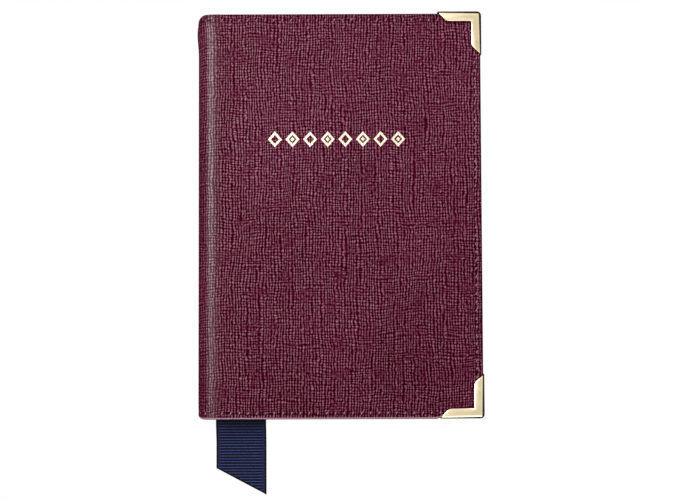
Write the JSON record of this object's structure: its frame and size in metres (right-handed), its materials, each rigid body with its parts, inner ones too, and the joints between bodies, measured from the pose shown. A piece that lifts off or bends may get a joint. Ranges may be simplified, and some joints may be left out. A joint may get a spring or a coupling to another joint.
{
  "type": "passport holder",
  "caption": "Book-style leather passport holder with a rounded spine, an inner sleeve on each cover, metal corner clamps and a ribbon marker.",
  "frame": {"origin": "middle of the back cover's outer face", "axes": "+X from the spine to the fore-edge, +Y from the tail to the head, +Z from the back cover to the front cover"},
  "size_m": [0.1004, 0.1707, 0.0129],
  "materials": {
    "cover_leather": "crossgrain, satin",
    "sleeve_leather": "crossgrain, satin",
    "lining_cloth": "matt twill",
    "board": "matt",
    "infill_card": "matt",
    "reinforcement": "matt",
    "clamp_metal": "polished pale gold plating",
    "foil": "pale gold hot foil",
    "ribbon": "ribbed grosgrain",
    "thread": "waxed thread"
  },
  "bodies": {
    "back_cover": {"back_cover_leather": "cover_leather", "back_board": "board", "back_infill": "infill_card", "back_hinge_reinforcement": "reinforcement", "back_lining": "lining_cloth", "back_sleeve_head_hem": "sleeve_leather", "back_sleeve_fore_hem": "sleeve_leather", "back_sleeve_tail_hem": "sleeve_leather", "back_sleeve": "sleeve_leather", "back_head_clamp": "clamp_metal", "back_tail_clamp": "clamp_metal", "back_stitching": "thread", "ribbon_marker": "ribbon", "ribbon_anchor_stitches": "thread"},
    "spine_back_strip": {"spine_back_leather": "cover_leather", "spine_back_reinforcement": "reinforcement", "spine_back_lining": "lining_cloth", "spine_back_stitching": "thread"},
    "spine_middle_strip": {"spine_middle_leather": "cover_leather", "spine_middle_reinforcement": "reinforcement", "spine_middle_lining": "lining_cloth", "spine_middle_stitching": "thread"},
    "spine_front_strip": {"spine_front_leather": "cover_leather", "spine_front_reinforcement": "reinforcement", "spine_front_lining": "lining_cloth", "spine_front_stitching": "thread"},
    "front_cover": {"front_cover_leather": "cover_leather", "front_board": "board", "front_infill": "infill_card", "front_hinge_reinforcement": "reinforcement", "front_lining": "lining_cloth", "front_sleeve_head_hem": "sleeve_leather", "front_sleeve_fore_hem": "sleeve_leather", "front_sleeve_tail_hem": "sleeve_leather", "front_sleeve": "sleeve_leather", "front_head_clamp": "clamp_metal", "front_tail_clamp": "clamp_metal", "front_stitching": "thread", "foil_marks": "foil"},
    "ribbon_tail": {"ribbon_tail": "ribbon"}
  },
  "joints": [
    {"name": "spine_fold_back", "type": "hinge", "parent": "back_cover", "child": "spine_back_strip", "pos_m": [-0.04623, 0, 0.00032], "axis": [0, -1, 0], "range_deg": [0, 45]},
    {"name": "spine_fold_back_middle", "type": "hinge", "parent": "spine_back_strip", "child": "spine_middle_strip", "pos_m": [-0.04968, 0, 0.00377], "axis": [0, -1, 0], "range_deg": [0, 45]},
    {"name": "spine_fold_front_middle", "type": "hinge", "parent": "spine_middle_strip", "child": "spine_front_strip", "pos_m": [-0.04968, 0, 0.00863], "axis": [0, -1, 0], "range_deg": [0, 45]},
    {"name": "spine_fold_front", "type": "hinge", "parent": "spine_front_strip", "child": "front_cover", "pos_m": [-0.04623, 0, 0.01208], "axis": [0, -1, 0], "range_deg": [0, 45]},
    {"name": "ribbon_tail_bend", "type": "hinge", "parent": "back_cover", "child": "ribbon_tail", "pos_m": [-0.035, -0.0717, 0.00275], "axis": [1, 0, 0], "range_deg": [-75, 60]}
  ],
  "couplings": [
    {"joint": "spine_fold_back", "follows": "spine_fold_front", "ratio": 1},
    {"joint": "spine_fold_back_middle", "follows": "spine_fold_front", "ratio": 1},
    {"joint": "spine_fold_front_middle", "follows": "spine_fold_front", "ratio": 1}
  ]
}
